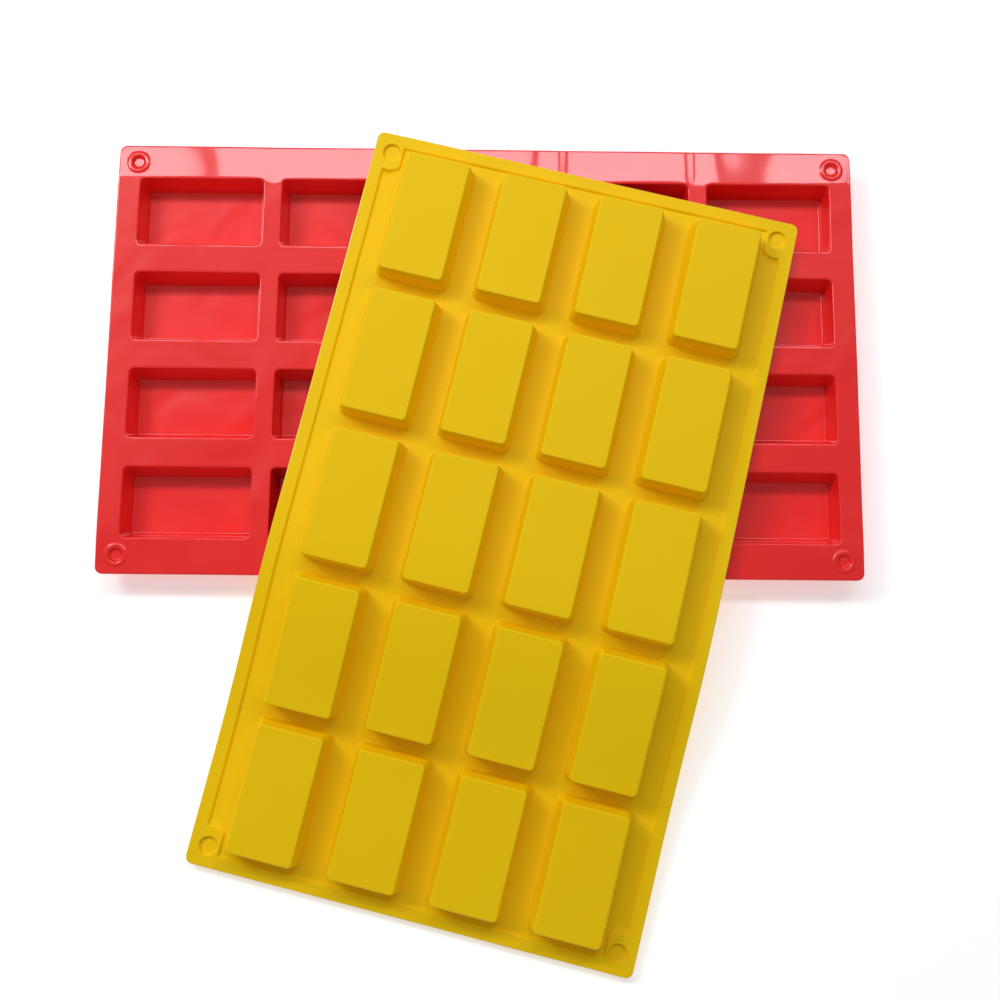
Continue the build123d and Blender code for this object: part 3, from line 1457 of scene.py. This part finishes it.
@dataclass(frozen=True)
class SiliconeFinish:
    """Look of one side of a tray. The values given here are those of a smooth mouth side.

    Attributes:
        name: name of the material.
        colour: colour of the silicone.
        worn: colour of the faint patches where it is dusty or rubbed.
        patchiness: how strongly those patches show, from 0 to 1.
        patch_range: heights of the noise at which a patch begins and is full.
        patch_specks: share of the patchiness that is added as fine specks.
        roughness: mean roughness.
        spread: how much the roughness varies.
        fine_spread: share of that spread that is added as fine specks.
        gloss: strength of the reflection of the silicone itself.
        ior: refractive index of the silicone.
        coat: strength of the smooth skin over it.
        coat_roughness: roughness of that skin.
        coat_ior: refractive index of that skin.
        grain: height of the fine grain, in metres.
        wave: height of the shallow waves, in metres.
    """

    name: str
    colour: Rgb
    worn: Rgb
    patchiness: float = 0.3
    patch_range: tuple[float, float] = (0.38, 0.72)
    patch_specks: float = 0.35
    roughness: float = 0.4
    spread: float = 0.08
    fine_spread: float = 0.5
    gloss: float = 0.4
    ior: float = 1.41
    coat: float = 1.0
    coat_roughness: float = 0.05
    coat_ior: float = 1.45
    grain: float = 0.000002
    wave: float = 0.0016

    def build(self) -> bpy.types.Material:
        """Make the material.

        Patches of worn colour follow a slow noise, the roughness follows a finer one, and
        two bumps add shallow waves and a fine grain.

        Returns:
            The material.
        """
        graph = Graph(self.name)
        place = graph.coordinates()
        slow = PATCHES.add(graph, place)
        fine = SPECKS.add(graph, place)
        start, full = self.patch_range
        stops = [(start, (0, 0, 0, 1)), (full, (1, 1, 1, 1))]
        patches = graph.add("ShaderNodeValToRGB", {"stops": stops}, {0: slow})
        share = (patches * self.patchiness) + (fine * (self.patchiness * self.patch_specks))
        mix = graph.mix(share, self.colour, self.worn, clamp_factor=True)
        cloud = (CLOUDS.add(graph, place) - 0.5) * self.spread
        rough = cloud + (fine - 0.5) * (self.spread * self.fine_spread) + self.roughness
        broad = graph.bump(WAVES.add(graph, place), self.wave)
        graph.surface(
            Base_Color=mix,
            Roughness=rough,
            Normal=graph.bump(GRAIN.add(graph, place), self.grain, Normal=broad),
            IOR=self.ior,
            Specular_IOR_Level=self.gloss,
            Coat_Weight=self.coat,
            Coat_Roughness=self.coat_roughness,
            Coat_IOR=self.coat_ior,
        )
        return graph.material


def underside(name: str, colour: Rgb, worn: Rgb, gloss: float) -> SiliconeFinish:
    """Finish of an underside: no smooth skin, rougher, grainier, patchier and less wavy.

    Args:
        name: name of the material.
        colour: colour of the silicone.
        worn: colour of its faint patches.
        gloss: strength of its reflection.

    Returns:
        The finish.
    """
    return SiliconeFinish(
        name,
        colour,
        worn,
        patchiness=0.4,
        roughness=0.55,
        spread=0.1,
        gloss=gloss,
        coat=0.0,
        coat_roughness=0.3,
        grain=0.000008,
        wave=0.0003,
    )


FINISHES: dict[Colour, tuple[SiliconeFinish, SiliconeFinish]] = {
    Colour.RED: (
        SiliconeFinish("red_mouth_side", (0.95, 0.012, 0.010), (0.97, 0.018, 0.016)),
        underside("red_underside", (0.90, 0.03, 0.024), (0.92, 0.045, 0.04), 0.3),
    ),
    Colour.YELLOW: (
        SiliconeFinish("yellow_mouth_side", (0.96, 0.63, 0.004), (0.98, 0.66, 0.01)),
        underside("yellow_underside", (0.96, 0.63, 0.001), (0.98, 0.66, 0.003), 0.2),
    ),
}


# ---------------------------------------------------------------- studio


@dataclass(frozen=True)
class Panel:
    """A flat rectangular light.

    Attributes:
        name: name of the light.
        width: its width in metres.
        height: its height in metres.
        radiance: brightness of its face.
        tint: its colour.
    """

    name: str
    width: float
    height: float
    radiance: float
    tint: Rgb = (1.0, 1.0, 1.0)

    def build(self, place: Vector, out: Vector) -> None:
        """Put the light up. Its power is its radiance times pi times its area.

        Args:
            place: where its middle goes.
            out: direction from which it shines.
        """
        light = bpy.data.lights.new(self.name, "AREA")
        light.shape = "RECTANGLE"
        light.size, light.size_y = self.width, self.height
        light.energy = self.radiance * math.pi * self.width * self.height
        light.color = self.tint
        lamp = bpy.data.objects.new(self.name, light)
        lamp.location = place
        lamp.rotation_euler = (-out).to_track_quat("-Z", "Y").to_euler()
        bpy.context.scene.collection.objects.link(lamp)


@dataclass(frozen=True)
class Softbox:
    """A square soft light that faces the middle of the stack.

    Attributes:
        name: name of the light.
        azimuth: direction from which it shines, left of the far side, in degrees.
        elevation: its height above the stack, in degrees.
        distance: its distance in metres.
        size: its side in metres.
        radiance: brightness of its face.
    """

    name: str = "key"
    azimuth: float = 60.0
    elevation: float = 45.0
    distance: float = 1.2
    size: float = 0.34
    radiance: float = 10.5

    def build(self, middle: Vector) -> None:
        """Put the light up.

        Args:
            middle: middle of the lower tray.
        """
        turn, rise = math.radians(self.azimuth), math.radians(self.elevation)
        level = math.cos(rise)
        out = Vector((-math.sin(turn) * level, math.cos(turn) * level, math.sin(rise)))
        panel = Panel(self.name, self.size, self.size, self.radiance)
        panel.build(middle + out * self.distance, out)
        log.info("soft light %s", self.name)


@dataclass(frozen=True)
class Window:
    """A wide window of several panes beyond the far side of the stack, the main light.

    Attributes:
        target: the point that it faces, in metres from the middle of the lower tray.
        elevation: height of its middle above the target, in degrees.
        distance: distance of its middle from the target, in metres.
        left: place of its left edge.
        panes: widths of its panes from left to right, in metres.
        bar: width of the bars between the panes, in metres.
        height: height of the panes, in metres.
        radiance: brightness of the panes.
        tint: their colour.
    """

    target: tuple[float, float, float] = (0.0, 0.075, 0.0125)
    elevation: float = 62.3
    distance: float = 1.2
    left: float = -0.86
    panes: tuple[float, ...] = (0.24, 0.2, 0.26, 0.13, 0.22, 0.16, 0.21)
    bar: float = 0.024
    height: float = 0.17
    radiance: float = 9.3
    tint: Rgb = (0.97, 0.94, 1.0)

    def build(self, middle: Vector) -> None:
        """Put the panes up from left to right.

        Args:
            middle: middle of the lower tray.
        """
        angle = math.radians(self.elevation)
        out = Vector((0.0, math.cos(angle), math.sin(angle)))
        centre = middle + Vector(self.target) + out * self.distance
        edge = self.left
        for number, width in enumerate(self.panes, 1):
            pane = Panel(f"pane_{number}", width, self.height, self.radiance, self.tint)
            pane.build(centre + Vector((edge + width / 2, 0.0, 0.0)), out)
            edge += width + self.bar
        log.info("window of %d panes", len(self.panes))


@dataclass(frozen=True)
class Floor:
    """Plain pale floor, a large disc with a barely uneven colour that shines a little.

    Attributes:
        radius: radius of the disc, in metres.
        level: its height, a little under the surface that the stack stands on, in metres.
        rings: number of rings of points, with its middle.
        spokes: number of points in each ring.
        cloud: the unevenness.
        colours: its two colours.
        roughness: its roughness.
        ior: refractive index of its surface.
        shine: strength of its own white light.
    """

    radius: float = 3.0
    level: float = -0.0002
    rings: int = 9
    spokes: int = 64
    cloud: Noise = Noise(2.0, 2.0)
    colours: tuple[Rgb, Rgb] = ((0.93, 0.93, 0.935), (0.95, 0.95, 0.95))
    roughness: float = 0.9
    ior: float = 1.3
    shine: float = 0.4

    def material(self) -> bpy.types.Material:
        """Make the floor's material."""
        graph = Graph("pale_floor")
        cloud = self.cloud.add(graph, graph.coordinates())
        graph.surface(
            Base_Color=graph.mix(cloud, *self.colours),
            Roughness=self.roughness,
            IOR=self.ior,
            Emission_Color=(1.0, 1.0, 1.0, 1.0),
            Emission_Strength=self.shine,
        )
        return graph.material

    def build(self) -> None:
        """Lay the floor."""
        reach = np.linspace(0.0, self.radius, self.rings)[:, None]
        turn = np.linspace(0.0, 2 * math.pi, self.spokes + 1)[None, :-1]
        level = self.level + 0 * reach * turn
        grid = np.stack([reach * np.cos(turn), reach * np.sin(turn), level], axis=2)
        patch = Patch(grid, Face.MOUTH, loop=True)
        mesh = bpy.data.meshes.new("floor")
        mesh.from_pydata(grid.reshape(-1, 3).tolist(), [], patch.quads(0).tolist())
        mesh.materials.append(self.material())
        ground = bpy.data.objects.new("floor", mesh)
        bpy.context.scene.collection.objects.link(ground)


@dataclass(frozen=True)
class Studio:
    """Floor, light and camera.

    Attributes:
        focal: focal length in image widths.
        centre: where the optical axis meets the image, in image widths from its top left.
        eye: place of the camera from the middle of the lower tray at floor level, in mm.
        ahead: direction of view.
        upward: direction of the image's top.
        ambient: brightness of the even light from all round.
        sensor: width of the camera's sensor, in mm.
        clip: nearest and farthest distance that it sees, in metres.
    """

    focal: float = 1.3428
    centre: tuple[float, float] = (0.5131, 0.42246)
    eye: tuple[float, float, float] = (7.35, -116.72, 528.28)
    ahead: tuple[float, float, float] = (0.00883, 0.1732, -0.98485)
    upward: tuple[float, float, float] = (-0.01027, 0.98485, 0.17311)
    ambient: float = 0.3
    sensor: float = 36.0
    clip: tuple[float, float] = (0.01, 20.0)

    def sky(self) -> None:
        """Even white light from all round."""
        world = bpy.data.worlds.new("studio")
        world.use_nodes = True
        back = world.node_tree.nodes["Background"]
        back.inputs["Color"].default_value = (1.0, 1.0, 1.0, 1.0)
        back.inputs["Strength"].default_value = self.ambient
        bpy.context.scene.world = world

    def camera(self, middle: Vector) -> None:
        """Camera with the view's direction, focal length and shift.

        Args:
            middle: middle of the lower tray at floor level.
        """
        data = bpy.data.cameras.new("camera")
        data.sensor_width = self.sensor
        data.lens = self.focal * self.sensor
        data.shift_x = 0.5 - self.centre[0]
        data.shift_y = self.centre[1] - 0.5
        data.clip_start, data.clip_end = self.clip
        ahead = Vector(self.ahead).normalized()
        side = ahead.cross(Vector(self.upward)).normalized()
        up = side.cross(ahead)
        turn = Matrix((side, up, -ahead)).transposed().to_4x4()
        camera = bpy.data.objects.new("camera", data)
        camera.matrix_world = Matrix.Translation(middle + Vector(self.eye) * MM) @ turn
        bpy.context.scene.collection.objects.link(camera)
        bpy.context.scene.camera = camera

    def build(self, middle: Vector) -> None:
        """Set up the whole studio round the lower tray.

        Args:
            middle: middle of the lower tray at floor level.
        """
        Floor().build()
        self.sky()
        Window().build(middle)
        Softbox().build(middle)
        self.camera(middle)
        scene = bpy.context.scene
        scene.view_settings.view_transform = "Standard"
        scene.view_settings.look = "None"


# ---------------------------------------------------------------- whole stack


@dataclass(frozen=True)
class Stack:
    """How the upper tray lies across the lower one, in mm and degrees.

    Attributes:
        turn: turn of the upper tray from lying square across the lower one.
        shift: place of its middle from the middle of the lower tray.
        gap: gap between the two mouth planes at the upper tray's far end.
        tilt: slope of its flat rows, down towards the far end.
        folds: rest angles of its webs.
        bow: turn of its ends from lying slightly curved, in radians.
    """

    turn: float = 13.2
    shift: tuple[float, float] = (8.1, -70.6)
    gap: float = 0.75
    tilt: float = 0.55
    folds: tuple[float, float, float, float] = (9.0, -12.0, 0.0, 0.0)
    bow: float = -0.009

    def lower_place(self, middle: Vector, sizes: TraySizes) -> Matrix:
        """Place of the lower tray: mouths up, standing on its cups.

        Args:
            middle: middle of the lower tray at floor level, in metres.
            sizes: the trays' sizes.

        Returns:
            Turn and shift from the tray's flat frame, in mm.
        """
        return Matrix.Translation(middle / MM + Vector((0.0, 0.0, sizes.height)))

    def upper_place(self, middle: Vector, sizes: TraySizes) -> Matrix:
        """Place of the upper tray: turned over, laid across, tilted and lifted by the gap.

        Args:
            middle: middle of the lower tray at floor level, in metres.
            sizes: the trays' sizes.

        Returns:
            Turn and shift from the tray's flat frame, in mm.
        """
        rise = sizes.height + self.gap + sizes.end_line * math.sin(math.radians(self.tilt))
        shift = Matrix.Translation(middle / MM + Vector((*self.shift, rise)))
        across = Matrix.Rotation(math.radians(90.0 - self.turn), 4, "Z")
        slope = Matrix.Rotation(math.radians(self.tilt), 4, "Y")
        over = Matrix.Rotation(math.pi, 4, "X")
        return shift @ across @ slope @ over


def main() -> None:
    """Build the two trays and the studio."""
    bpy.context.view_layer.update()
    sizes = TraySizes()
    low, high = (Vector(corner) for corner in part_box("lower_row_3"))
    middle = Vector(((low.x + high.x) / 2, (low.y + high.y) / 2, 0.0))
    stack = Stack()
    lower, upper = stack.lower_place(middle, sizes), stack.upper_place(middle, sizes)
    lies = {
        Colour.RED: Lie(sizes, lower, droop=0.05, seed=5),
        Colour.YELLOW: Lie(sizes, upper, stack.folds, stack.bow, seed=11),
    }
    for colour, name in ((Colour.RED, "lower"), (Colour.YELLOW, "upper")):
        materials = [finish.build() for finish in FINISHES[colour]]
        Tray(name, colour, lies[colour], sizes).build(materials)
    Studio().build(middle)


if __name__ == "__main__":
    main()
